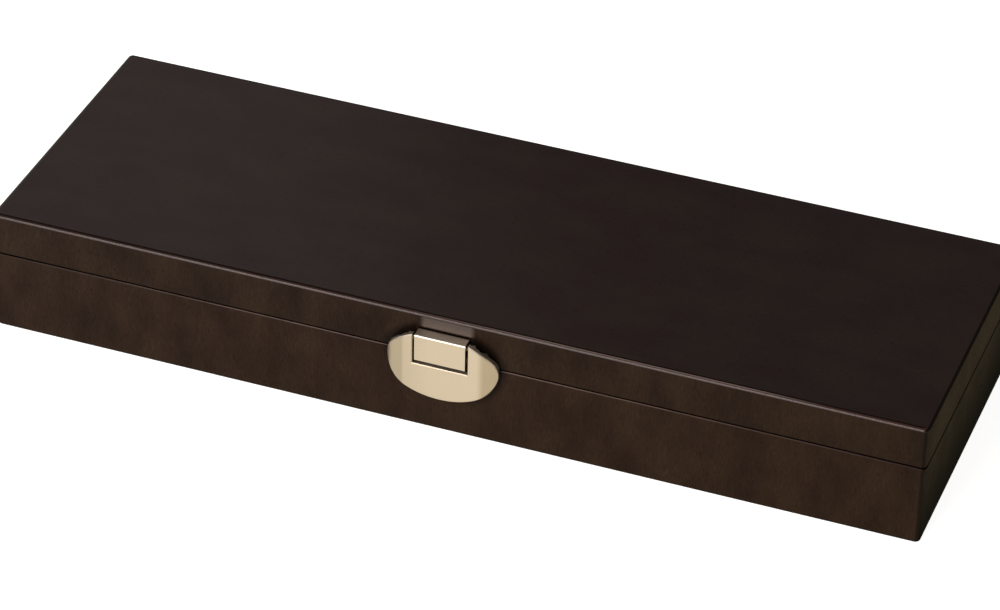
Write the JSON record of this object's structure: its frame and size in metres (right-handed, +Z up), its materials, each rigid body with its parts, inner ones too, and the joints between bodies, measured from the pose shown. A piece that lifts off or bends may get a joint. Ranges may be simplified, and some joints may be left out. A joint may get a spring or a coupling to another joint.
{
  "type": "brush box with hinged lid",
  "caption": "Flat stained-wood case with a lid on butt hinges along the back, a bowed oval metal clasp at the front and foam slots inside for long-handled brushes.",
  "frame": {"origin": "middle of the case's underside", "axes": "+X along the case's length to its right end seen from the front, +Y from the front (clasp) to the back (hinges), +Z up"},
  "size_m": [0.35, 0.1249, 0.048],
  "materials": {
    "stained_wood": "espresso stain under satin lacquer",
    "satin_nickel": "satin champagne-nickel plating on cast zinc and brass",
    "plated_steel": "bright nickel-plated steel",
    "black_foam": "matt black closed-cell foam"
  },
  "bodies": {
    "base": {"base_front_rail": "stained_wood", "base_back_rail": "stained_wood", "base_left_rail": "stained_wood", "base_right_rail": "stained_wood", "base_bottom_panel": "stained_wood", "foam_bed_layer": "black_foam", "foam_slot_layer": "black_foam", "hinge_left_base_leaf": "satin_nickel", "hinge_right_base_leaf": "satin_nickel", "hinge_left_pin": "plated_steel", "hinge_right_pin": "plated_steel", "hinge_base_screws": "plated_steel", "clasp_keeper": "satin_nickel", "clasp_keeper_screws": "plated_steel"},
    "lid": {"lid_top_panel": "stained_wood", "lid_front_rail": "stained_wood", "lid_back_rail": "stained_wood", "lid_left_rail": "stained_wood", "lid_right_rail": "stained_wood", "lid_foam_pad": "black_foam", "hinge_left_lid_leaf": "satin_nickel", "hinge_right_lid_leaf": "satin_nickel", "hinge_lid_screws": "plated_steel", "clasp_bracket": "satin_nickel", "clasp_bracket_screws": "plated_steel", "clasp_pin": "plated_steel"},
    "clasp_flap": {"clasp_flap": "satin_nickel"}
  },
  "joints": [
    {"name": "lid_hinge", "type": "hinge", "parent": "base", "child": "lid", "pos_m": [0, 0.0578, 0.0315], "axis": [-1, 0, 0], "range_deg": [0, 98]},
    {"name": "clasp_hinge", "type": "hinge", "parent": "lid", "child": "clasp_flap", "pos_m": [0, -0.06245, 0.0395], "axis": [-1, 0, 0], "range_deg": [0, 85]}
  ]
}
